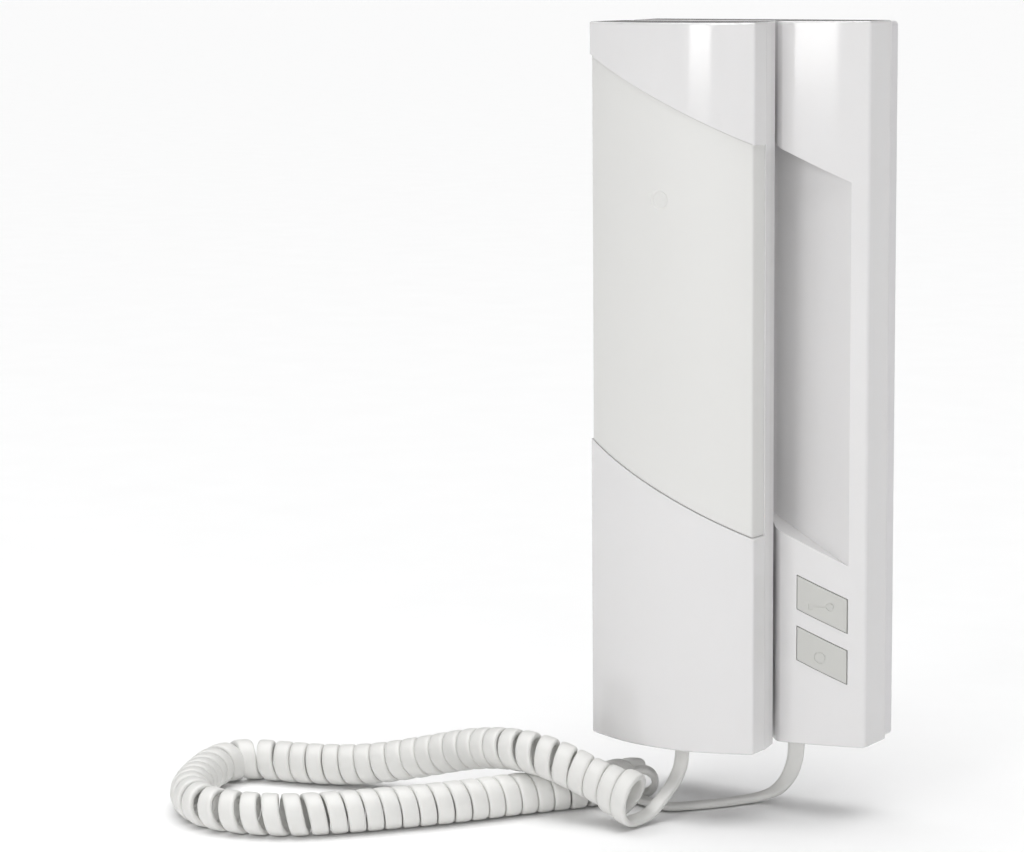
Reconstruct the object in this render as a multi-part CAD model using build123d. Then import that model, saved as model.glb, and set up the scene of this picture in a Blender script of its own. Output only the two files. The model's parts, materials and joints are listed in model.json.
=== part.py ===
from build123d import *
import os
from math import pi, radians, sin, sqrt, tan

# Slimline wall phone: a full-height handset hangs on the left of a wall base, whose right side
# shows a slanted finger scoop and two slanted keys. Millimetres, +Z up, the wall is the plane
# y = 0, the front faces -Y, and the origin is midway between the two wall screws.

# ---- driving dimensions -------------------------------------------------------------------
HEIGHT = 210.0
TOP = HEIGHT / 2
BOTTOM = -HEIGHT / 2
STEP_SLOPE = -0.463            # fall of the slanted step lines, per millimetre of x

# handset
HANDSET_X = -12.0              # its middle
HANDSET_HALF = 27.2            # half its width
HANDSET_CREST_Y = -48.7        # foremost line of the bowed front
HANDSET_EDGE_Y = -41.5         # where the bowed front meets the sides
HANDSET_SEAM_Y = -34.8         # joint between the front and rear shells
HANDSET_REAR_Y = -25.3
HANDSET_WALL = 2.2
PANEL_SINK = 0.55              # how far the grip panel lies below the caps
PANEL_WALL = 1.55
PANEL_TOP_Z = 83.3             # step lines where they cross the handset's middle
PANEL_LOW_Z = -29.2
PANEL_GAP = 0.25               # shadow line between the panel and each cap
SEAM_GROOVE = 0.45             # depth of the shadow line between the two shells
DIMPLE_Z = 55.0
DIMPLE_RADIUS = 2.8
DIMPLE_DEPTH = 0.55
EDGE_ROUND = 1.0               # upright front edges
END_ROUND = 0.6                # outline of the top and bottom ends
BOSS_RADIUS = 3.4
SCREW_HOLE_RADIUS = 1.6
EARPIECE_Z = 72.0
MICROPHONE_Z = -72.0
HANDSET_SCREW_Z = (46.0, -46.0)
EARPIECE_RADIUS = 15.6
MICROPHONE_RADIUS = 4.85

# base
BASE_LEFT = -38.2
BASE_RIGHT = 39.2
PLATE_EDGE_Y = -4.7            # front of the wall plate's rim
COVER_REAR_Y = -4.9
COVER_EDGE_Y = -17.8           # front of the cover at its right edge
COVER_CREST_X = 14.4
COVER_CREST_Y = -23.75
CREST_FOOT = (11.9, -22.4)     # the rounded crest ends here and falls to the platform
PLATFORM_RIGHT = 9.4           # flat part behind the handset
PLATFORM_Y = -19.5
COVER_WALL = 2.0
SCOOP_FLOOR_Y = -14.5
SCOOP_SLOPE_LEFT = 8.0         # the scoop's floor is flat to the left of this
SCOOP_RIGHT = 34.7
SCOOP_EDGE_Y = -19.45          # the floor runs out into the face here
SCOOP_TOP_Z = 67.5             # scoop's slanted edges, where they cross x = 17
SCOOP_LOW_Z = -43.3
SCOOP_X = 17.0

# keys
KEY_X = 26.8                   # middle of both keys
KEY_WIDTH = 14.9
KEY_HEIGHT = 10.3
KEY_SLOPE = -0.435
DOOR_KEY_Z = -62.9
AUX_KEY_Z = -78.0
KEY_GAP = 0.25
KEY_RISE = 0.35                # how far a key stands proud of the cover
KEY_EDGE_ROUND = 0.25
ICON_DEPTH = 0.2               # engraved marks on the keys
FLANGE_WIDTH = 1.4             # a key's flange reaches this far behind the cover
FLANGE_THICKNESS = 1.2

# board, switches and wall screws
BOARD_REAR_Y = -5.0
BOARD_FRONT_Y = -6.6
WALL_SCREW_Z = 30.0
WALL_SCREW_RADIUS = 2.25
HOOK_X = -24.0
HOOK_Z = -60.0
LIFT_DIRECTION = Vector(0, -sin(radians(45)), sin(radians(45)))
TONGUE_Z = (84.5, -98.5)       # roots of the two hanging tongues
TONGUE_WIDTH = 8.0
TONGUE_THICKNESS = 2.2
TONGUE_REACH = 12.6
SOUNDER_X = -6.0
SOUNDER_Z = 76.0

# cord: a flat four-wire cord, drawn as a round one of the same section where it isn't coiled
LEAD_RADIUS = 1.65
COIL_RADIUS = 6.2
FLOOR_Z = -127.0               # lowest level of the cord
COIL_Z = FLOOR_Z + COIL_RADIUS
LEAD_Z = FLOOR_Z + LEAD_RADIUS + 0.1
HANDSET_EXIT = Vector(-10.8, -37.0, BOTTOM)
BASE_EXIT = Vector(13.5, -11.5, BOTTOM)

nodes = {}


# ---- helpers ------------------------------------------------------------------------------
def box_between(low, high):
    """A box from its lowest corner to its highest."""
    size = Vector(*high) - Vector(*low)
    middle = (Vector(*high) + Vector(*low)) * 0.5
    return Pos(middle) * Box(size.X, size.Y, size.Z)


def rod_y(x, z, radius, front_y, rear_y):
    """A cylinder along Y."""
    middle = Pos(x, (front_y + rear_y) / 2, z)
    return middle * Rot(90, 0, 0) * Cylinder(radius, abs(rear_y - front_y))


def cone_y(x, z, front_radius, rear_radius, front_y, rear_y):
    """A cone along Y, such as a countersink."""
    middle = Pos(x, (front_y + rear_y) / 2, z)
    return middle * Rot(90, 0, 0) * Cone(rear_radius, front_radius, abs(rear_y - front_y))


def tube_y(x, z, outer, inner, front_y, rear_y):
    """A tube along Y."""
    return rod_y(x, z, outer, front_y, rear_y) - rod_y(x, z, inner, front_y - 1, rear_y + 1)


def upright(face, low_z, high_z):
    """A plan outline drawn out from low_z to high_z."""
    return extrude(Pos(0, 0, low_z) * face, amount=high_z - low_z, dir=(0, 0, 1))


def slanted_band(cross_x, low_z, high_z, left_x, right_x, slope=STEP_SLOPE):
    """A parallelogram in front view, drawn out through the whole depth.
    low_z and high_z are its slanted edges' heights where they cross cross_x."""
    rise_left = slope * (left_x - cross_x)
    rise_right = slope * (right_x - cross_x)
    outline = Polyline(
        (left_x, -60, low_z + rise_left),
        (right_x, -60, low_z + rise_right),
        (right_x, -60, high_z + rise_right),
        (left_x, -60, high_z + rise_left),
        close=True,
    )
    return extrude(make_face(outline), amount=80, dir=(0, 1, 0))


def round_uprights(solid, corners):
    """Rounds the upright edges nearest the given (x, y), each with its own radius."""
    for x, y, radius in corners:
        edges = solid.edges().filter_by(Axis.Z)
        nearest = min(edges, key=lambda edge: (edge.center() - Vector(x, y, edge.center().Z)).length)
        solid = fillet(nearest, radius)
    return solid


def soften_ends(solid, rear_y):
    """Rounds the outline of the top and bottom ends, except along their rear edge."""
    for end in (solid.faces().sort_by(Axis.Z)[-1], solid.faces().sort_by(Axis.Z)[0]):
        level = end.center().Z
        rim = [edge for edge in solid.edges()
               if abs(edge.center().Z - level) < 1e-4 and edge.center().Y < rear_y - 0.5]
        solid = fillet(rim, END_ROUND)
    return solid


# ---- handset ------------------------------------------------------------------------------
def front_outline(inset, rear_y):
    """Plan of the handset's bowed front and straight sides, inset all round but the rear."""
    bow = HANDSET_EDGE_Y - HANDSET_CREST_Y
    bow_radius = (HANDSET_HALF**2 + bow**2) / (2 * bow)
    centre_y = HANDSET_CREST_Y + bow_radius
    half = HANDSET_HALF - inset
    radius = bow_radius - inset
    edge_y = centre_y - sqrt(radius**2 - half**2)
    left = HANDSET_X - half
    right = HANDSET_X + half
    front = ThreePointArc((left, edge_y), (HANDSET_X, centre_y - radius), (right, edge_y))
    sides = Polyline((right, edge_y), (right, rear_y), (left, rear_y), (left, edge_y))
    return make_face(front.edges() + sides.edges())


def rear_outline(inset, front_y):
    """Plan of the handset's tapering back half, with a groove along the seam."""
    groove_end = HANDSET_SEAM_Y + 0.35
    widths = [(front_y, SEAM_GROOVE), (groove_end, SEAM_GROOVE), (groove_end, 0.15), (-30.3, 0.9),
              (HANDSET_REAR_Y - inset, 2.0)]
    right = [(HANDSET_X + HANDSET_HALF - taper - inset, y) for y, taper in widths]
    left = [(2 * HANDSET_X - x, y) for x, y in reversed(right)]
    return make_face(Polyline(*right, *left, close=True))


def panel_band(trim=0.0):
    """The slanted band that the grip panel fills."""
    return slanted_band(HANDSET_X, PANEL_LOW_Z + trim, PANEL_TOP_Z - trim, -60, 60)


def make_front_shell():
    core_inset = PANEL_SINK + PANEL_WALL + 0.1
    outer = upright(front_outline(0, HANDSET_SEAM_Y), BOTTOM, TOP)
    outer = round_uprights(outer, [(HANDSET_X - HANDSET_HALF, HANDSET_EDGE_Y, EDGE_ROUND),
                                   (HANDSET_X + HANDSET_HALF, HANDSET_EDGE_Y, EDGE_ROUND)])
    outer = soften_ends(outer, HANDSET_SEAM_Y)
    hollow = upright(front_outline(HANDSET_WALL, 0), BOTTOM + HANDSET_WALL, TOP - HANDSET_WALL)
    shell = outer - hollow - panel_band()
    inner = upright(front_outline(core_inset - 0.05, HANDSET_SEAM_Y), BOTTOM + 1, TOP - 1)
    core = inner - upright(front_outline(core_inset + 1.8, 0), BOTTOM, TOP)
    core = core & panel_band(-2.5)
    shell = shell + core
    for z in HANDSET_SCREW_Z:
        root_y = HANDSET_CREST_Y + 1.4
        boss = tube_y(HANDSET_X, z, BOSS_RADIUS, 1.2, root_y, HANDSET_REAR_Y - 4.2)
        solid_root = rod_y(HANDSET_X, z, BOSS_RADIUS, root_y, root_y + 3.6)
        shell = shell + ((boss + solid_root) & inner)
    slot = box_between((HANDSET_EXIT.X - 2.9, HANDSET_EXIT.Y - 2.1, BOTTOM - 1),
                       (HANDSET_EXIT.X + 2.9, HANDSET_SEAM_Y + 1, BOTTOM + 3))
    nodes["handset_front_shell"] = shell - slot


def make_grip_panel():
    outer = upright(front_outline(PANEL_SINK, HANDSET_SEAM_Y - 0.05), BOTTOM + 1, TOP - 1)
    edge_x = HANDSET_HALF - PANEL_SINK
    outer = round_uprights(outer, [(HANDSET_X - edge_x, HANDSET_EDGE_Y, EDGE_ROUND),
                                   (HANDSET_X + edge_x, HANDSET_EDGE_Y, EDGE_ROUND)])
    panel = outer - upright(front_outline(PANEL_SINK + PANEL_WALL, 0), BOTTOM, TOP)
    panel = panel & panel_band(PANEL_GAP)
    surface_y = HANDSET_CREST_Y + PANEL_SINK
    dish = cone_y(HANDSET_X, DIMPLE_Z, DIMPLE_RADIUS + 0.4, DIMPLE_RADIUS - DIMPLE_DEPTH,
                  surface_y - 0.4, surface_y + DIMPLE_DEPTH)
    nodes["handset_grip_panel"] = panel - dish


def make_rear_shell():
    outer = upright(rear_outline(0, HANDSET_SEAM_Y), BOTTOM, TOP)
    corner = HANDSET_HALF - 2.0
    outer = round_uprights(outer, [(HANDSET_X - corner, HANDSET_REAR_Y, 1.6),
                                   (HANDSET_X + corner, HANDSET_REAR_Y, 1.6)])
    hollow = upright(rear_outline(2.0, HANDSET_SEAM_Y - 1), BOTTOM + HANDSET_WALL,
                     TOP - HANDSET_WALL)
    shell = outer - hollow
    inside_y = HANDSET_REAR_Y - 2.0
    for z, inner in ((EARPIECE_Z, EARPIECE_RADIUS + 0.8), (MICROPHONE_Z, MICROPHONE_RADIUS + 2.05)):
        shell = shell + tube_y(HANDSET_X, z, inner + 1.5, inner, inside_y - 3, inside_y + 0.5)
    for x, z, radius in sound_holes():
        shell = shell - rod_y(x, z, radius, inside_y - 1, HANDSET_REAR_Y + 1)
    for z in HANDSET_SCREW_Z:
        shell = shell - rod_y(HANDSET_X, z, SCREW_HOLE_RADIUS, inside_y - 1, HANDSET_REAR_Y + 1)
        shell = shell - cone_y(HANDSET_X, z, SCREW_HOLE_RADIUS, 3.1, HANDSET_REAR_Y - 1.5,
                               HANDSET_REAR_Y + 0.01)
    for z in TONGUE_Z:
        shell = shell - tongue(z, 0.45, 20)
    nodes["handset_rear_shell"] = shell


def sound_holes():
    """Places and radii of the holes over the earpiece and the microphone."""
    pitch = 3.8
    holes = [(HANDSET_X, EARPIECE_Z, 0.9)]
    for ring, count in ((1, 6), (2, 12)):
        for index in range(count):
            spot = Vector(ring * pitch, 0, 0).rotate(Axis.Z, 360 * index / count)
            holes.append((HANDSET_X + spot.X, EARPIECE_Z + spot.Y, 0.9))
    for offset in (-2.2, 0, 2.2):
        holes.append((HANDSET_X + offset, MICROPHONE_Z, 0.7))
    return holes


def tongue(root_z, margin, reach):
    """A hanging tongue, slanted along the way that the handset lifts off."""
    length = reach + 4
    body = Box(TONGUE_WIDTH + 2 * margin, TONGUE_THICKNESS + 2 * margin, length)
    middle = Vector(HANDSET_X, PLATFORM_Y, root_z) + LIFT_DIRECTION * (length / 2 - 2)
    return Pos(middle) * Rot(45, 0, 0) * body


def make_handset_inside():
    inside_y = HANDSET_REAR_Y - 2.0
    capsule = rod_y(HANDSET_X, EARPIECE_Z, EARPIECE_RADIUS, inside_y - 6.6, inside_y - 1.2)
    capsule = capsule + rod_y(HANDSET_X, EARPIECE_Z, 9.0, inside_y - 9.6, inside_y - 6.6)
    nodes["earpiece_capsule"] = capsule
    nodes["earpiece_gasket"] = tube_y(HANDSET_X, EARPIECE_Z, 16.2, 11.0, inside_y - 1.2, inside_y)
    capsule = rod_y(HANDSET_X, MICROPHONE_Z, MICROPHONE_RADIUS, inside_y - 5.2, inside_y - 0.6)
    nodes["microphone_capsule"] = capsule
    boot = rod_y(HANDSET_X, MICROPHONE_Z, 6.7, inside_y - 6.2, inside_y) - capsule
    nodes["microphone_boot"] = boot - rod_y(HANDSET_X, MICROPHONE_Z, 3.4, inside_y - 1, inside_y + 1)
    weight = box_between((HANDSET_X - 16, inside_y - 5, -20), (HANDSET_X + 16, inside_y, 30))
    nodes["handset_weight"] = chamfer(weight.edges().filter_by(Axis.Y), 3)
    screws = Part()
    for z in HANDSET_SCREW_Z:
        screw = cone_y(HANDSET_X, z, 1.45, 2.9, HANDSET_REAR_Y - 1.45, HANDSET_REAR_Y - 0.1)
        screw = screw + rod_y(HANDSET_X, z, 1.15, HANDSET_REAR_Y - 12, HANDSET_REAR_Y - 1.4)
        screws = screws + screw
    nodes["handset_screws"] = screws
    floor_z = BOTTOM + HANDSET_WALL
    clamp = box_between((HANDSET_X - 6, HANDSET_EXIT.Y - 4, floor_z),
                        (HANDSET_X + 6, HANDSET_EXIT.Y + 4, floor_z + 5))
    nodes["handset_cord_clamp"] = fillet(clamp.edges().filter_by(Axis.Z), 1.0)


# ---- base ---------------------------------------------------------------------------------
def cover_outline(rear_y):
    """Plan of the cover: side, bowed face rising to the crest, then back to the platform."""
    face = ThreePointArc((BASE_RIGHT, COVER_EDGE_Y), (28.4, -21.05), (COVER_CREST_X, COVER_CREST_Y))
    crest = ThreePointArc((COVER_CREST_X, COVER_CREST_Y), (13.0, -23.45), CREST_FOOT)
    rest = Polyline(CREST_FOOT, (PLATFORM_RIGHT, PLATFORM_Y), (BASE_LEFT, PLATFORM_Y),
                    (BASE_LEFT, rear_y), (BASE_RIGHT, rear_y), (BASE_RIGHT, COVER_EDGE_Y))
    return make_face(face.edges() + crest.edges() + rest.edges())


def scoop_space(wall):
    """The finger scoop, open to the front and the left, grown by a wall on its closed sides."""
    floor = make_face(Polyline(
        (SCOOP_RIGHT + wall, -40),
        (SCOOP_RIGHT + wall, SCOOP_EDGE_Y + wall),
        (SCOOP_SLOPE_LEFT, SCOOP_FLOOR_Y + wall),
        (-60, SCOOP_FLOOR_Y + wall),
        (-60, -40),
        close=True,
    ))
    grow = wall * sqrt(1 + STEP_SLOPE**2)
    band = slanted_band(SCOOP_X, SCOOP_LOW_Z - grow, SCOOP_TOP_Z + grow, -70, 60)
    return upright(floor, BOTTOM, TOP) & band


def key_space(z, margin):
    """A key's parallelogram, drawn out through the whole depth."""
    half_width = KEY_WIDTH / 2 + margin
    half_height = KEY_HEIGHT / 2 + margin
    return slanted_band(KEY_X, z - half_height, z + half_height,
                        KEY_X - half_width, KEY_X + half_width, KEY_SLOPE)


def make_cover():
    outer = upright(cover_outline(COVER_REAR_Y), BOTTOM, TOP)
    outer = round_uprights(outer, [(BASE_RIGHT, COVER_EDGE_Y, 1.2), (BASE_LEFT, PLATFORM_Y, 1.5)])
    outer = soften_ends(outer, COVER_REAR_Y)
    cavity_plan = offset(cover_outline(5.0), amount=-COVER_WALL, kind=Kind.INTERSECTION)
    cavity = upright(cavity_plan, BOTTOM + COVER_WALL, TOP - COVER_WALL)
    cover = (outer - scoop_space(0)) - (cavity - scoop_space(COVER_WALL))
    for z in (DOOR_KEY_Z, AUX_KEY_Z):
        cover = cover - (key_space(z, 0) & box_between((10, -40, BOTTOM), (BASE_RIGHT, -12, 0)))
    in_front = box_between((-30, -40, BOTTOM), (PLATFORM_RIGHT, PLATFORM_Y + 1, TOP))
    for z in TONGUE_Z:
        cover = cover + (tongue(z, 0, TONGUE_REACH) & in_front)
    for x in (-30.0, 4.0):
        for low_z in (-78.0, -52.0):
            cover = cover + box_between((x, HANDSET_REAR_Y + 0.35, low_z),
                                        (x + 1.6, PLATFORM_Y + 0.5, low_z + 12))
    cover = cover - rod_y(HOOK_X, HOOK_Z, 3.3, -30, -15)
    for x, z in cover_screw_places():
        cover = cover + rod_y(x, z, 4.2, PLATFORM_Y + 0.5, -9.0)
        cover = cover - rod_y(x, z, 1.7, -30, 0)
        cover = cover - rod_y(x, z, 3.2, -30, -17.0)
    slot = box_between((BASE_EXIT.X - 2.9, BASE_EXIT.Y - 2.1, BOTTOM - 1),
                       (BASE_EXIT.X + 2.9, COVER_REAR_Y + 1, BOTTOM + 3))
    nodes["base_cover"] = cover - slot


def cover_screw_places():
    return [(-30.0, 97.5), (2.0, -93.0)]


def make_wall_plate():
    low_z = BOTTOM + 0.8
    high_z = TOP - 0.3
    plate = box_between((BASE_LEFT + 0.1, PLATE_EDGE_Y, low_z), (BASE_RIGHT - 0.1, 0, high_z))
    plate = fillet(plate.edges().filter_by(Axis.Y), 1.2)
    plate = fillet(plate.faces().sort_by(Axis.Y)[-1].edges(), 0.6)
    rim = 3.4
    plate = plate - box_between((BASE_LEFT + rim, -20, low_z + rim - 0.6),
                                (BASE_RIGHT - rim, -2.0, high_z - rim + 0.6))
    lip = box_between((BASE_LEFT + 2.2, -6.7, low_z + 1.5), (BASE_RIGHT - 2.2, -4.0, high_z - 2.0))
    lip = lip - box_between((BASE_LEFT + rim, -20, low_z + rim - 0.6),
                            (BASE_RIGHT - rim, 0, high_z - rim + 0.6))
    plate = plate + lip
    for x, z in board_screw_places():
        plate = plate + tube_y(x, z, 3.0, 1.0, BOARD_REAR_Y, -1.5)
    for x, z in cover_screw_places():
        plate = plate + tube_y(x, z, 3.4, 1.1, -8.9, -1.5)
    for z in (WALL_SCREW_Z, -WALL_SCREW_Z):
        plate = plate - rod_y(0, z, WALL_SCREW_RADIUS, -10, 1)
    plate = plate - box_between((-10, -10, -8), (10, 1, 8))
    slot = box_between((BASE_EXIT.X - 3.2, -8, BOTTOM - 1), (BASE_EXIT.X + 3.2, -4.4, BOTTOM + 6))
    plate = plate + tube_y(SOUNDER_X, SOUNDER_Z, 15.4, 13.4, -6, -1.5)
    nodes["wall_plate"] = plate - slot


def board_screw_places():
    return [(-31.0, -44.0), (33.0, -44.0), (-31.0, -96.0), (33.0, -96.0)]


def make_board():
    board = box_between((-34, BOARD_FRONT_Y, -99), (35, BOARD_REAR_Y, -38))
    board = board - box_between((BASE_EXIT.X - 8, -10, -100), (BASE_EXIT.X + 8, 0, -92))
    for x, z in board_screw_places():
        board = board - rod_y(x, z, 1.5, -10, 0)
    for x, z in cover_screw_places():
        board = board - rod_y(x, z, 4.6, -10, 0)
    nodes["circuit_board"] = board
    screws = Part()
    for x, z in board_screw_places():
        screw = rod_y(x, z, 2.6, BOARD_FRONT_Y - 1.4, BOARD_FRONT_Y)
        screws = screws + screw + rod_y(x, z, 0.95, BOARD_FRONT_Y - 0.5, -2.4)
    nodes["board_screws"] = screws
    screws = Part()
    for x, z in cover_screw_places():
        screw = rod_y(x, z, 3.0, -18.8, -17.0)
        screws = screws + screw + rod_y(x, z, 1.05, -17.5, -3.0)
    nodes["cover_screws"] = screws


def key_mark(z):
    """Outline of a small door key, drawn out through the whole depth."""
    bow_x = KEY_X + 2.7
    mark = tube_y(bow_x, z, 1.3, 0.75, -40, 0)
    mark = mark + box_between((KEY_X - 3.8, -40, z - 0.4), (bow_x - 1.1, 0, z + 0.4))
    return mark + box_between((KEY_X - 3.8, -40, z - 1.2), (KEY_X - 2.5, 0, z))


def ring_mark(z):
    """A plain ring, drawn out through the whole depth."""
    return tube_y(KEY_X - 0.2, z, 1.8, 1.3, -40, 0)


def make_keys():
    """Each key is conformal with the cover's face and carries its switch's plunger."""
    flange_y = COVER_WALL + 0.4
    plan = cover_outline(COVER_REAR_Y)
    face_space = upright(Pos(0, -KEY_RISE, 0) * plan, BOTTOM, TOP)
    below_marks = upright(Pos(0, ICON_DEPTH - KEY_RISE, 0) * plan, BOTTOM, TOP)
    behind_wall = upright(Pos(0, flange_y, 0) * plan, BOTTOM, TOP)
    behind_flange = upright(Pos(0, flange_y + FLANGE_THICKNESS, 0) * plan, BOTTOM, TOP)
    marks = {"door": key_mark(DOOR_KEY_Z - 0.5), "aux": ring_mark(AUX_KEY_Z - 0.6)}
    for name, z in (("door", DOOR_KEY_Z), ("aux", AUX_KEY_Z)):
        cap = (key_space(z, -KEY_GAP) & face_space) - behind_flange
        cap = fillet(cap.faces().sort_by(Axis.Y)[0].edges(), KEY_EDGE_ROUND)
        cap = cap - (marks[name] - below_marks)
        flange = (key_space(z, FLANGE_WIDTH) & behind_wall) - behind_flange
        stem = rod_y(KEY_X, z, 2.2, -18.4, -11.5)
        nodes[name + "_button"] = cap + flange + stem
        housing = box_between((KEY_X - 3.1, -10.1, z - 3.1), (KEY_X + 3.1, BOARD_FRONT_Y, z + 3.1))
        housing = chamfer(housing.edges().filter_by(Axis.Y), 0.5)
        nodes[name + "_switch"] = housing - rod_y(KEY_X, z, 1.95, -12, -7.0)
        nodes[name + "_switch_plunger"] = rod_y(KEY_X, z, 1.7, -11.5, -8.4)


def make_hook_switch():
    tip_y = HANDSET_REAR_Y + 0.3
    plunger = rod_y(HOOK_X, HOOK_Z, 2.9, tip_y, -13.4)
    plunger = fillet(plunger.edges().group_by(Axis.Y)[0], 0.8)
    plunger = plunger + rod_y(HOOK_X, HOOK_Z, 4.4, -14.4, -13.4)
    nodes["hook_plunger"] = plunger + rod_y(HOOK_X, HOOK_Z, 1.6, -13.5, -8.6)
    housing = box_between((HOOK_X - 5, -10.5, HOOK_Z - 6), (HOOK_X + 5, BOARD_FRONT_Y, HOOK_Z + 6))
    housing = chamfer(housing.edges().filter_by(Axis.Y), 0.6)
    nodes["hook_switch"] = housing - rod_y(HOOK_X, HOOK_Z, 1.8, -12, -7.4)
    wire = 0.3
    coil = Helix(pitch=0.72, height=2.16, radius=2.6)
    ring = Plane(origin=coil @ 0, z_dir=coil % 0) * Circle(wire)
    spring = sweep(ring, path=coil)
    nodes["hook_spring"] = Pos(HOOK_X, -10.8, HOOK_Z) * Rot(90, 0, 0) * spring


def make_board_parts():
    block = box_between((-14, -15.0, -57), (12, BOARD_FRONT_Y, -47))
    wells = Part()
    screws = Part()
    for index in range(4):
        x = -10.75 + index * 6.5
        wells = wells + rod_y(x, -50.6, 2.1, -16, -10.5)
        wells = wells + box_between((x - 1.8, -11.5, -58), (x + 1.8, -8.0, -53.2))
        screws = screws + rod_y(x, -50.6, 1.9, -12.6, -10.5)
    nodes["terminal_block"] = block - wells
    nodes["terminal_screws"] = screws
    nodes["line_capacitor"] = rod_y(-6.0, -67.0, 3.15, -14.4, BOARD_FRONT_Y)
    sounder = rod_y(SOUNDER_X, SOUNDER_Z, 13.1, -7.4, -2.0)
    sounder = sounder + rod_y(SOUNDER_X, SOUNDER_Z, 5.0, -8.8, -7.4)
    nodes["sounder"] = sounder - rod_y(SOUNDER_X, SOUNDER_Z, 1.0, -9, -7.8)
    floor_z = BOTTOM + COVER_WALL
    clamp = box_between((BASE_EXIT.X - 5.5, BASE_EXIT.Y - 4, floor_z),
                        (BASE_EXIT.X + 5.5, BASE_EXIT.Y + 4, floor_z + 5))
    nodes["base_cord_clamp"] = fillet(clamp.edges().filter_by(Axis.Z), 1.0)


# ---- cord ---------------------------------------------------------------------------------
def tube_along(name, points, radius):
    """A round tube along straight runs joined by tangent arcs, as large as the runs allow."""
    points = [Vector(*point) for point in points]
    radii = []
    for before, corner, after in zip(points, points[1:], points[2:]):
        into = corner - before
        out = after - corner
        half_turn = radians(into.get_angle(out)) / 2
        radii.append(0.45 * min(into.length, out.length) / tan(half_turn))
    path = FilletPolyline(*points, radius=radii)
    section = Plane(origin=path @ 0, z_dir=path % 0) * Circle(radius)
    tube = sweep(section, path=path)
    expected = path.length * pi * radius**2
    print(name, "length", round(path.length, 1), "volume ratio", round(tube.volume / expected, 4))
    print(name, "radii", [round(value, 1) for value in radii])
    nodes[name] = tube


def make_cord():
    tube_along("cord_lead_handset", [
        HANDSET_EXIT + Vector(0, 0, HANDSET_WALL),
        (-10.8, -37.0, -108.0),
        (-9.6, -38.6, -114.5),
        (-7.6, -43.2, -119.6),
        (-5.4, -49.4, -122.6),
        (-7.2, -55.6, -122.9),
        (-11.6, -57.6, -122.2),
    ], LEAD_RADIUS)
    tube_along("cord_coil_handset_side", [
        (-13.8, -59.0, -118.3),
        (-27.0, -58.3, -114.8),
        (-40.5, -60.8, -109.2),
        (-54.0, -60.8, -107.9),
        (-71.0, -57.5, -110.7),
        (-89.5, -57.8, -115.9),
        (-107.0, -61.5, -119.9),
        (-122.0, -66.2, COIL_Z),
        (-135.0, -69.2, COIL_Z),
        (-145.5, -72.0, COIL_Z),
        (-149.2, -79.5, COIL_Z),
        (-147.4, -89.5, COIL_Z),
        (-142.9, -99.5, COIL_Z),
    ], COIL_RADIUS)
    tube_along("cord_coil_base_side", [
        (-142.9, -99.5, COIL_Z),
        (-138.4, -109.5, COIL_Z),
        (-130.6, -117.8, COIL_Z),
        (-120.0, -123.4, COIL_Z),
        (-107.0, -122.4, COIL_Z),
        (-94.5, -117.0, COIL_Z),
        (-84.0, -106.8, COIL_Z),
        (-74.0, -95.0, COIL_Z),
        (-64.0, -82.5, COIL_Z),
        (-55.5, -69.5, COIL_Z),
        (-47.5, -57.5, COIL_Z),
        (-40.0, -47.5, COIL_Z),
        (-34.6, -39.0, COIL_Z),
        (-31.2, -32.8, COIL_Z),
    ], COIL_RADIUS)
    tube_along("cord_lead_base", [
        BASE_EXIT + Vector(0, 0, COVER_WALL),
        (13.5, -11.5, -108.0),
        (13.0, -11.8, -114.0),
        (10.6, -12.6, -119.8),
        (6.8, -14.0, -124.0),
        (2.0, -17.4, LEAD_Z),
        (-4.2, -24.4, LEAD_Z),
        (-10.0, -31.8, LEAD_Z),
        (-15.4, -38.6, LEAD_Z),
        (-21.8, -41.4, LEAD_Z),
        (-28.2, -40.0, LEAD_Z + 1.6),
    ], LEAD_RADIUS)


make_front_shell()
make_grip_panel()
make_rear_shell()
make_handset_inside()
make_cover()
make_wall_plate()
make_board()
make_keys()
make_hook_switch()
make_board_parts()
make_cord()

os.makedirs("parts", exist_ok=True)
for name, solid in nodes.items():
    export_step(solid, "parts/" + name + ".step")
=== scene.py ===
import bpy
import bmesh
import json
from math import cos, pi, radians, sin
from mathutils import Matrix, Vector


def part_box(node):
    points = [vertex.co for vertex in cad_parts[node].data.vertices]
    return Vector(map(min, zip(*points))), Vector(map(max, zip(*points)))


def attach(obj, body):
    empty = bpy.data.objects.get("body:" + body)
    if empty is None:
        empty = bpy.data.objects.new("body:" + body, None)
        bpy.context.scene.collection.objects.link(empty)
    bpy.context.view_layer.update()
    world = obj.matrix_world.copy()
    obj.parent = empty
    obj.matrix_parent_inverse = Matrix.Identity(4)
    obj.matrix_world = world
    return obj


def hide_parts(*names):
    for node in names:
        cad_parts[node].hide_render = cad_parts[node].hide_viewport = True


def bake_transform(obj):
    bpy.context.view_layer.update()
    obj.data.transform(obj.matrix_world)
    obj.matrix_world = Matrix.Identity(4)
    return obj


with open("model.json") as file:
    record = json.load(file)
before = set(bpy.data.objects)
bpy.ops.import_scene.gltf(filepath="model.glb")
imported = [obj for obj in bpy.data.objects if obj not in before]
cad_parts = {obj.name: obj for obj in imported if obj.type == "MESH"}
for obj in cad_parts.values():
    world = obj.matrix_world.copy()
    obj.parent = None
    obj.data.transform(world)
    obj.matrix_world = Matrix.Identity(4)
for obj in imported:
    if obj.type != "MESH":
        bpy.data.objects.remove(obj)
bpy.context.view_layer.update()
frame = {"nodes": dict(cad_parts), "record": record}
print("frame loaded,", len(frame["nodes"]), "nodes")

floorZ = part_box("cord_coil_base_side")[0][2]   # the surface that the cord lies on

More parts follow.
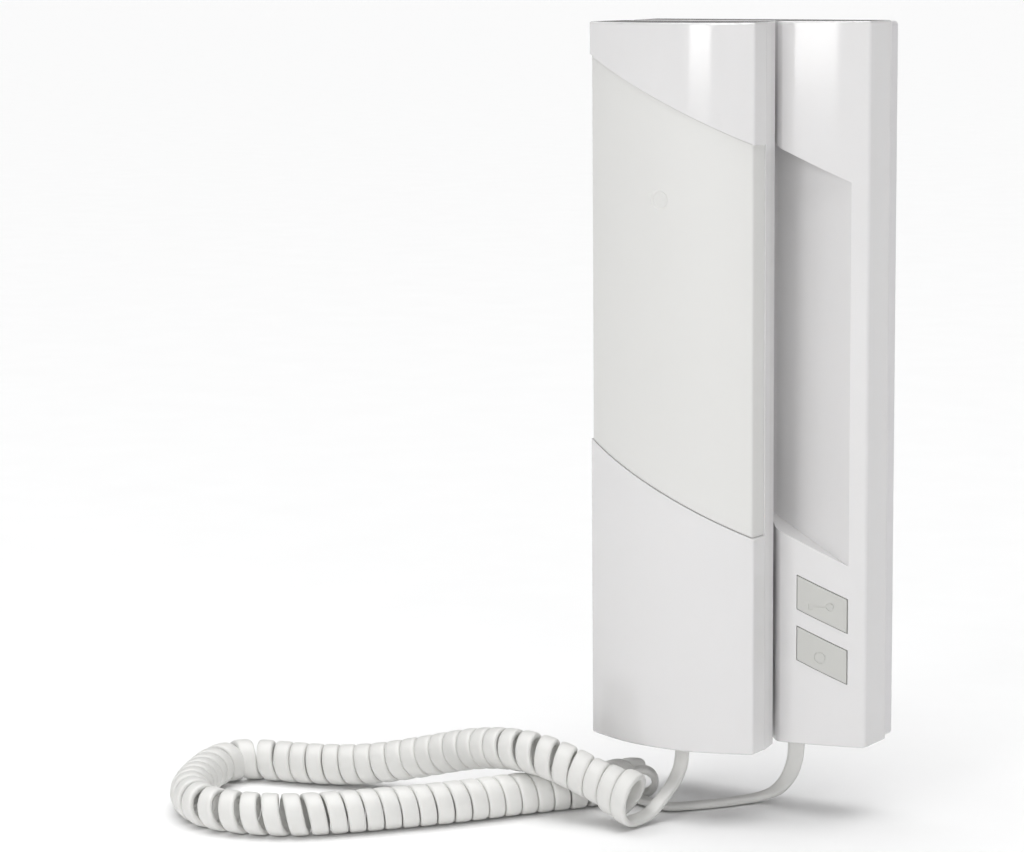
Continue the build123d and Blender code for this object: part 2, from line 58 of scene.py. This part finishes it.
# camera, to the right of the phone and looking slightly down on it
cameraSettings = {
    "place": (0.45065, -0.83058, 0.12715),
    "yaw": 33.265,
    "pitch": 8.568,
    "roll": -0.479,
    "lens": 112.384,
}


def makeCamera(settings):
    cameraData = bpy.data.cameras.new("camera")
    cameraData.lens = settings["lens"]
    cameraData.sensor_width = 36
    cameraData.clip_start = 0.01
    camera = bpy.data.objects.new("camera", cameraData)
    bpy.context.scene.collection.objects.link(camera)
    turn = Matrix.Rotation(radians(settings["yaw"]), 4, "Z")
    tilt = Matrix.Rotation(radians(90 - settings["pitch"]), 4, "X")
    roll = Matrix.Rotation(radians(settings["roll"]), 4, "Z")
    camera.matrix_world = Matrix.Translation(settings["place"]) @ turn @ tilt @ roll
    bpy.context.scene.camera = camera


makeCamera(cameraSettings)
print("camera set")

# node building helpers for the materials


def newMaterial(name):
    material = bpy.data.materials.new(name)
    material.use_nodes = True
    tree = material.node_tree
    return material, tree, tree.nodes["Principled BSDF"]


def addNode(tree, kind, **inputs):
    node = tree.nodes.new(kind)
    for key, value in inputs.items():
        node.inputs[key.replace("_", " ")].default_value = value
    return node


def rampBetween(tree, source, lowColor, highColor, low=0.3, high=0.7):
    ramp = tree.nodes.new("ShaderNodeValToRGB")
    ramp.color_ramp.elements[0].position = low
    ramp.color_ramp.elements[0].color = (*lowColor, 1)
    ramp.color_ramp.elements[1].position = high
    ramp.color_ramp.elements[1].color = (*highColor, 1)
    tree.links.new(source, ramp.inputs["Fac"])
    return ramp.outputs["Color"]


def spreadBetween(tree, source, low, high):
    spread = tree.nodes.new("ShaderNodeMapRange")
    spread.inputs["To Min"].default_value = low
    spread.inputs["To Max"].default_value = high
    tree.links.new(source, spread.inputs["Value"])
    return spread.outputs["Result"]


# moulded plastic: a faint cloudiness in the colour, flow marks in the gloss and a fine texture
def mouldedPlastic(name, settings):
    material, tree, shader = newMaterial(name)
    places = tree.nodes.new("ShaderNodeTexCoord").outputs["Object"]
    cloud = addNode(tree, "ShaderNodeTexNoise", Scale=settings["cloudScale"], Detail=3)
    flow = addNode(tree, "ShaderNodeTexNoise", Scale=settings["flowScale"], Detail=4, Distortion=0.6)
    texture = addNode(tree, "ShaderNodeTexNoise", Scale=settings["textureScale"], Detail=2)
    for noise in (cloud, flow, texture):
        tree.links.new(places, noise.inputs["Vector"])
    base = settings["color"]
    dark = tuple(channel * (1 - settings["cloudDepth"]) for channel in base)
    color = rampBetween(tree, cloud.outputs["Fac"], dark, base)
    tree.links.new(color, shader.inputs["Base Color"])
    low, high = settings["roughness"]
    tree.links.new(spreadBetween(tree, flow.outputs["Fac"], low, high), shader.inputs["Roughness"])
    bump = addNode(tree, "ShaderNodeBump", Strength=settings["bump"], Distance=settings["bumpDistance"])
    tree.links.new(texture.outputs["Fac"], bump.inputs["Height"])
    tree.links.new(bump.outputs["Normal"], shader.inputs["Normal"])
    shader.inputs["Specular IOR Level"].default_value = settings.get("specular", 0.5)
    shader.inputs["Subsurface Weight"].default_value = settings.get("glow", 0.0)
    shader.inputs["Subsurface Radius"].default_value = (0.0012, 0.0011, 0.0010)
    return material


def metalFinish(name, settings):
    material, tree, shader = newMaterial(name)
    places = tree.nodes.new("ShaderNodeTexCoord").outputs["Object"]
    grain = addNode(tree, "ShaderNodeTexNoise", Scale=settings["grainScale"], Detail=5)
    tree.links.new(places, grain.inputs["Vector"])
    color = rampBetween(tree, grain.outputs["Fac"], settings["dark"], settings["color"])
    tree.links.new(color, shader.inputs["Base Color"])
    low, high = settings["roughness"]
    tree.links.new(spreadBetween(tree, grain.outputs["Fac"], low, high), shader.inputs["Roughness"])
    bump = addNode(tree, "ShaderNodeBump", Strength=0.25, Distance=0.00004)
    tree.links.new(grain.outputs["Fac"], bump.inputs["Height"])
    tree.links.new(bump.outputs["Normal"], shader.inputs["Normal"])
    shader.inputs["Metallic"].default_value = 1.0
    return material


def circuitBoardFinish(name, settings):
    material, tree, shader = newMaterial(name)
    places = tree.nodes.new("ShaderNodeTexCoord").outputs["Object"]
    tracks = addNode(tree, "ShaderNodeTexBrick", Scale=settings["trackScale"], Mortar_Size=0.03)
    tracks.inputs["Color1"].default_value = (*settings["color"], 1)
    tracks.inputs["Color2"].default_value = (*settings["color"], 1)
    tracks.inputs["Mortar"].default_value = (*settings["track"], 1)
    turned = tree.nodes.new("ShaderNodeMapping")
    turned.inputs["Rotation"].default_value = (radians(90), 0, 0)
    tree.links.new(places, turned.inputs["Vector"])
    tree.links.new(turned.outputs["Vector"], tracks.inputs["Vector"])
    tree.links.new(tracks.outputs["Color"], shader.inputs["Base Color"])
    bump = addNode(tree, "ShaderNodeBump", Strength=0.5, Distance=0.00003)
    tree.links.new(tracks.outputs["Fac"], bump.inputs["Height"])
    tree.links.new(bump.outputs["Normal"], shader.inputs["Normal"])
    shader.inputs["Roughness"].default_value = 0.35
    return material


# the cord: two sides that meet at the far bend of the curly stretch

cordSettings = {
    "width": 0.0050,
    "leadWidth": 0.0042,
    "exitFlare": 0.0022,      # the base lead is this much wider where it leaves the cover
    "flareStart": 0.82,       # shares of that lead's length
    "flareShare": 0.14,
    "thickness": 0.0021,
    "coilRadius": 0.0062,
    "pitch": 0.0053,
    "turnGap": 0.0001,
    "mostCrowding": 0.32,     # turns are pressed no closer than this on the inside of a bend
    "startOpening": 0.0004,   # the first turns by the handset lie this much further apart
    "endOpening": 0.0016,     # and the last ones by the base this much
    "endFlare": 0.0018,       # the end turn by the handset is this much wider
    "endShrink": 0.0011,      # and the one by the base this much narrower
    "stepsPerTurn": 36,
    "sectionPoints": 14,
    "squareness": 0.55,       # below 1 it squares the ends of the oval section
    "windStep": 0.0002,
    "leadStep": 0.001,
}

handsetLeadRoute = [
    (-10.8, -37.0, -102.8), (-10.8, -37.0, -108.5), (-10.9, -38.2, -113.4), (-11.5, -42.0, -117.6),
    (-12.4, -47.2, -121.2), (-13.9, -52.6, -125.0), (-15.6, -58.9, -125.0),
]
handsetCoilRoute = [
    (-13.8, -59.0, -118.3), (-27.0, -58.3, -114.8), (-40.5, -60.8, -109.2), (-54.0, -60.8, -107.9),
    (-71.0, -57.5, -110.7), (-89.5, -57.8, -115.9), (-107.0, -61.5, -119.9),
    (-122.0, -66.2, -120.8), (-135.0, -69.2, -120.8), (-145.5, -72.0, -120.8),
    (-149.2, -79.5, -120.8), (-147.4, -89.5, -120.8), (-142.9, -99.5, -120.8),
]
baseCoilRoute = [
    (-142.9, -99.5, -120.8), (-138.4, -109.5, -120.8), (-130.6, -117.8, -120.8),
    (-120.0, -123.4, -120.8), (-107.0, -122.4, -120.8), (-94.5, -117.0, -120.8),
    (-84.0, -106.8, -120.8), (-74.0, -95.0, -120.8), (-64.0, -82.5, -120.8), (-55.5, -69.5, -120.8),
    (-47.5, -57.5, -120.8), (-40.0, -47.5, -120.8), (-36.4, -40.5, -120.8), (-35.0, -34.5, -120.7),
    (-34.4, -29.0, -120.9), (-31.6, -26.4, -121.2), (-29.2, -29.4, -121.4), (-26.6, -35.0, -121.4),
]
baseLeadRoute = [
    (13.5, -11.5, -103.0), (13.5, -11.5, -108.0), (13.0, -11.6, -114.0), (10.8, -12.0, -119.4),
    (7.2, -12.6, -123.4), (2.6, -14.4, -125.4), (-0.8, -18.6, -125.8), (-5.0, -25.4, -125.8),
    (-10.2, -31.6, -125.8), (-14.6, -37.0, -125.7), (-20.2, -37.6, -125.5), (-26.6, -35.0, -125.5),
]


# a smooth line through the route's NURBS control points, read back as points
def readRoute(name, route, resolution=40):
    curveData = bpy.data.curves.new(name, "CURVE")
    curveData.dimensions = "3D"
    curveData.resolution_u = resolution
    spline = curveData.splines.new("NURBS")
    spline.points.add(len(route) - 1)
    for point, place in zip(spline.points, route):
        point.co = (place[0] / 1000, place[1] / 1000, place[2] / 1000, 1)
    spline.order_u = 3
    spline.use_endpoint_u = True
    curveObject = bpy.data.objects.new(name, curveData)
    bpy.context.scene.collection.objects.link(curveObject)
    bpy.context.view_layer.update()
    evaluated = curveObject.evaluated_get(bpy.context.evaluated_depsgraph_get())
    mesh = bpy.data.meshes.new_from_object(evaluated)
    points = [vertex.co.copy() for vertex in mesh.vertices]
    bpy.data.objects.remove(curveObject)
    bpy.data.meshes.remove(mesh)
    return points


def lengthsAlong(points):
    total = [0.0]
    for before, after in zip(points, points[1:]):
        total.append(total[-1] + (after - before).length)
    return total


# the point and the direction at a distance along a line of points
def placeAlong(points, lengths, distance):
    distance = min(max(distance, 0.0), lengths[-1])
    low, high = 0, len(lengths) - 1
    while high - low > 1:
        index = (low + high) // 2
        if lengths[index] <= distance:
            low = index
        else:
            high = index
    step = lengths[high] - lengths[low]
    share = 0.0 if step == 0 else (distance - lengths[low]) / step
    return points[low].lerp(points[high], share), (points[high] - points[low]).normalized()


def smooth(value):
    value = min(max(value, 0.0), 1.0)
    return value * value * (3 - 2 * value)


# how sharply a line bends at a distance along it, as one over the bend's radius
def bendAlong(points, lengths, distance, reach=0.009):
    before = placeAlong(points, lengths, distance - reach)[1]
    after = placeAlong(points, lengths, distance + reach)[1]
    return before.angle(after, 0) / (2 * reach)


# the curly stretch: walks along the coil's middle line and winds the cord round it, from a start
# side and phase; turns that would press into each other on the inside of a bend are spread there
def windCoil(middle, side, startPhase, wholeTurns, pitchAt, radiusAt, settings):
    lengths = lengthsAlong(middle)
    total = lengths[-1]
    step = settings["windStep"]

    def spreadPitch(distance):
        tight = settings["width"] + settings["turnGap"]
        crowding = settings["coilRadius"] * bendAlong(middle, lengths, distance)
        pressed = tight / (1 - min(crowding, settings["mostCrowding"]))
        return max(pitchAt(distance, total), pressed)

    wound = sum(step / spreadPitch((index + 0.5) * step) for index in range(round(total / step)))
    stretch = 1.0
    if wholeTurns:                          # ends at the bottom of a turn
        wanted = round(wound + startPhase / (2 * pi)) - startPhase / (2 * pi)
        stretch = wound / wanted
    points, wides = [], []
    distance, phase = 0.0, startPhase
    while distance < total:
        place, along = placeAlong(middle, lengths, distance)
        side = (side - along * side.dot(along)).normalized()
        other = along.cross(side)
        radius = radiusAt(distance, total)
        points.append(place + (side * cos(phase) + other * sin(phase)) * radius)
        wides.append(along.copy())
        phase += 2 * pi / settings["stepsPerTurn"]
        distance += stretch * spreadPitch(distance) / settings["stepsPerTurn"]
    print("coil of", round(wound, 1), "turns")
    return points, wides, side, phase - 2 * pi / settings["stepsPerTurn"]


# evens out a jump in a list of values over its neighbours
def softened(values, reach=12):
    result = []
    for index in range(len(values)):
        near = values[max(index - reach, 0):index + reach + 1]
        result.append(sum(near) / len(near))
    return result


# a tube of flat section with rounded edges along the points; wides is the broad way of the section
def flatTube(name, points, wides, widths, settings):
    count = settings["sectionPoints"]
    halfThick = settings["thickness"] / 2
    widths = softened(widths)
    mesh = bpy.data.meshes.new(name)
    vertices, faces = [], []
    last = len(points) - 1
    for index, place in enumerate(points):
        along = (points[min(index + 1, last)] - points[max(index - 1, 0)]).normalized()
        wide = (wides[index] - along * wides[index].dot(along)).normalized()
        thick = along.cross(wide)
        for corner in range(count):
            angle = 2 * pi * corner / count
            across = cos(angle)
            through = sin(angle)
            across = abs(across) ** settings["squareness"] * (1 if across > 0 else -1)
            through = abs(through) ** settings["squareness"] * (1 if through > 0 else -1)
            vertices.append(place + wide * across * widths[index] / 2 + thick * through * halfThick)
    for ring in range(last):
        for corner in range(count):
            nextCorner = (corner + 1) % count
            first, second = ring * count, (ring + 1) * count
            faces.append((first + corner, first + nextCorner, second + nextCorner, second + corner))
    faces.append(tuple(range(count - 1, -1, -1)))
    faces.append(tuple(last * count + corner for corner in range(count)))
    mesh.from_pydata(vertices, [], faces)
    mesh.update()
    piece = bpy.data.objects.new(name, mesh)
    bpy.context.scene.collection.objects.link(piece)
    build = bmesh.new()
    build.from_mesh(mesh)
    bmesh.ops.recalc_face_normals(build, faces=build.faces)
    build.to_mesh(mesh)
    build.free()
    for face in mesh.polygons:
        face.use_smooth = True
    return piece


def evenSteps(points, step):
    lengths = lengthsAlong(points)
    count = max(2, round(lengths[-1] / step))
    return [placeAlong(points, lengths, lengths[-1] * index / count)[0] for index in range(count + 1)]


# the broad way of a lead's flat section, blended between listed directions along it
def blendWides(keys, count):
    wides = []
    for index in range(count):
        share = index / (count - 1)
        for (low, first), (high, second) in zip(keys, keys[1:]):
            if low <= share <= high:
                wides.append(Vector(first).lerp(Vector(second), smooth((share - low) / (high - low))))
                break
    return wides


def makeHandsetCord(settings):
    inner = settings["coilRadius"] - settings["thickness"] / 2
    middle = readRoute("handset_coil_route", handsetCoilRoute)

    def pitchAt(distance, total):
        return settings["pitch"] + settings["startOpening"] * (1 - smooth((distance - 0.01) / 0.02))

    def radiusAt(distance, total):
        return inner + settings["endFlare"] * (1 - smooth(distance / 0.013))

    downward = Vector((0, 0, -1))
    coil, coilWides, side, phase = windCoil(middle, downward, 0.0, False, pitchAt, radiusAt, settings)
    lead = evenSteps(readRoute("handset_lead_route", handsetLeadRoute)[:-4] + [coil[0]], settings["leadStep"])
    leadWides = blendWides([(0, (-1, -0.25, 0)), (0.5, (-1, 0, 0)), (1, coilWides[0])], len(lead))
    points = lead[:-1] + coil
    widths = [settings["leadWidth"]] * (len(lead) - 1) + [settings["width"]] * len(coil)
    piece = flatTube("cord_handset_side", points, leadWides[:-1] + coilWides, widths, settings)
    return piece, points, side, phase


def makeBaseCord(settings, side, phase):
    inner = settings["coilRadius"] - settings["thickness"] / 2
    middle = readRoute("base_coil_route", baseCoilRoute)

    def pitchAt(distance, total):
        return settings["pitch"] + settings["endOpening"] * (1 - smooth((total - distance) / 0.012))

    def radiusAt(distance, total):
        return inner - settings["endShrink"] * (1 - smooth((total - distance - 0.004) / 0.014))

    coil, coilWides, side, phase = windCoil(middle, side, phase, True, pitchAt, radiusAt, settings)
    lead = evenSteps(readRoute("base_lead_route", baseLeadRoute)[:-4] + [coil[-1]], settings["leadStep"])
    leadWides = blendWides([
        (0, (0.84, 0.55, 0)), (0.12, (0.84, 0.55, 0)), (0.4, (0.85, -0.5, 0)),
        (0.65, (0.8, -0.6, 0)), (0.85, (0.2, -1, 0)), (1, coilWides[-1])], len(lead))
    lead.reverse()
    leadWides.reverse()
    points = coil + lead[1:]
    widths = [settings["width"]] * len(coil)
    for index in range(1, len(lead)):
        nearExit = smooth((index / len(lead) - settings["flareStart"]) / settings["flareShare"])
        widths.append(settings["leadWidth"] + settings["exitFlare"] * nearExit)
    piece = flatTube("cord_base_side", points, coilWides + leadWides[1:], widths, settings)
    points.reverse()
    return piece, points


def cordFinish(name):
    return mouldedPlastic(name, {
        "color": (0.80, 0.797, 0.775), "cloudScale": 60, "cloudDepth": 0.05, "flowScale": 300,
        "textureScale": 1800, "roughness": (0.34, 0.46), "bump": 0.2, "bumpDistance": 0.00004,
        "glow": 0.05,
    })


cordMaterial = cordFinish("cordPvc")


def placeCord(piece, nodes):
    piece.data.materials.append(cordMaterial)
    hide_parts(*nodes)


handsetCord, handsetLine, side, phase = makeHandsetCord(cordSettings)
placeCord(handsetCord, ("cord_lead_handset", "cord_coil_handset_side"))
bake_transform(handsetCord)
baseCord, baseLine = makeBaseCord(cordSettings, side, phase)
placeCord(baseCord, ("cord_lead_base", "cord_coil_base_side"))
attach(baseCord, "base")

# finishes of the CAD nodes

plasticFinishes = {
    "shell_white": {"color": (0.772, 0.764, 0.765), "roughness": (0.09, 0.12), "specular": 1.0, "glow": 0.1},
    "panel_white": {"color": (0.772, 0.769, 0.752), "roughness": (0.36, 0.42), "bump": 0.12},
    "plate_white": {"color": (0.77, 0.76, 0.77), "roughness": (0.30, 0.38)},
    "key_grey": {"color": (0.60, 0.60, 0.575), "roughness": (0.36, 0.44)},
    "switch_black": {"color": (0.03, 0.03, 0.03)},
    "plunger_red": {"color": (0.35, 0.03, 0.02)},
    "terminal_green": {"color": (0.04, 0.28, 0.10)},
    "capacitor_sleeve": {"color": (0.02, 0.03, 0.08)},
    "sounder_black": {"color": (0.03, 0.03, 0.03)},
    "clamp_nylon": {"color": (0.70, 0.69, 0.64)},
    "gasket_foam": {"color": (0.05, 0.05, 0.05), "roughness": (0.8, 0.95)},
    "boot_rubber": {"color": (0.04, 0.04, 0.04), "roughness": (0.6, 0.75)},
    "cord_white": {"color": (0.74, 0.74, 0.72)},
}
plasticDefaults = {
    "cloudScale": 25, "cloudDepth": 0.015, "flowScale": 45, "textureScale": 2200,
    "roughness": (0.34, 0.42), "bump": 0.08, "bumpDistance": 0.00003,
}
metalFinishes = {
    "spring_steel": {"color": (0.66, 0.66, 0.66), "dark": (0.50, 0.50, 0.50)},
    "screw_steel": {"color": (0.68, 0.68, 0.70), "dark": (0.52, 0.52, 0.53)},
    "capsule_steel": {"color": (0.62, 0.62, 0.62), "dark": (0.48, 0.48, 0.48)},
    "weight_steel": {"color": (0.26, 0.26, 0.26), "dark": (0.15, 0.15, 0.15)},
}


def makeFinishes():
    finishes = {}
    for name, changes in plasticFinishes.items():
        finishes[name] = mouldedPlastic(name, {**plasticDefaults, **changes})
    for name, changes in metalFinishes.items():
        finishes[name] = metalFinish(name, {"grainScale": 700, "roughness": (0.28, 0.45), **changes})
    finishes["board_green"] = circuitBoardFinish("board_green", {
        "color": (0.02, 0.13, 0.05), "track": (0.05, 0.24, 0.09), "trackScale": 260})
    return finishes


finishes = makeFinishes()
for entry in frame["record"]["subparts"]:
    node = frame["nodes"][entry["node"]]
    node.data.materials.clear()
    node.data.materials.append(finishes[entry["material_slot"]])
print("finishes given")

# the stage: a pale floor, an even sky, a broad light in front and one overhead, and a tall strip
# in front whose reflection makes the long highlights

stageSettings = {
    "floorSize": 60,
    "floorColor": (0.97, 0.97, 0.97),
    "skyColor": (0.985, 0.99, 1.0),
    "skyStrength": 0.08,
    "frontDirection": (0.54, -0.83, 0.26),
    "frontStrength": 0.66,
    "topStrength": 2.72,
    "sunAngle": 50,
    "topAngle": 66,
}
stripSettings = {
    "place": (-0.07, -1.5, 0.52),
    "target": (0, 0, 0.3),
    "size": (0.36, 0.98),
    "power": 4.7,
}


def makeStage(settings):
    bpy.ops.object.select_all(action="DESELECT")
    bpy.ops.mesh.primitive_plane_add(size=settings["floorSize"], location=(0, 0, floorZ - 0.0002))
    floor = bpy.context.active_object
    floor.name = "floor"
    material, tree, shader = newMaterial("floorPaper")
    places = tree.nodes.new("ShaderNodeTexCoord").outputs["Object"]
    grain = addNode(tree, "ShaderNodeTexNoise", Scale=30, Detail=3)
    tree.links.new(places, grain.inputs["Vector"])
    pale = settings["floorColor"]
    color = rampBetween(tree, grain.outputs["Fac"], tuple(0.985 * channel for channel in pale), pale)
    tree.links.new(color, shader.inputs["Base Color"])
    shader.inputs["Roughness"].default_value = 0.9
    shader.inputs["Specular IOR Level"].default_value = 0.0
    floor.data.materials.append(material)
    world = bpy.data.worlds.new("studio")
    world.use_nodes = True
    world.node_tree.nodes["Background"].inputs["Color"].default_value = (*settings["skyColor"], 1)
    world.node_tree.nodes["Background"].inputs["Strength"].default_value = settings["skyStrength"]
    bpy.context.scene.world = world
    bpy.context.scene.view_settings.view_transform = "Standard"


def addSun(name, direction, strength, angle):
    lightData = bpy.data.lights.new(name, "SUN")
    lightData.energy = strength
    lightData.angle = radians(angle)
    light = bpy.data.objects.new(name, lightData)
    bpy.context.scene.collection.objects.link(light)
    light.matrix_world = Vector(direction).to_track_quat("Z", "Y").to_matrix().to_4x4()


def addSoftbox(name, settings):
    lightData = bpy.data.lights.new(name, "AREA")
    lightData.shape = "RECTANGLE"
    lightData.size, lightData.size_y = settings["size"]
    lightData.energy = settings["power"]
    light = bpy.data.objects.new(name, lightData)
    bpy.context.scene.collection.objects.link(light)
    direction = Vector(settings["target"]) - Vector(settings["place"])
    turn = direction.to_track_quat("-Z", "Y").to_matrix().to_4x4()
    light.matrix_world = Matrix.Translation(settings["place"]) @ turn


makeStage(stageSettings)
addSun("frontLight", stageSettings["frontDirection"], stageSettings["frontStrength"],
       stageSettings["sunAngle"])
addSun("topLight", (0, 0, 1), stageSettings["topStrength"], stageSettings["topAngle"])
addSoftbox("stripLight", stripSettings)
print("stage set")
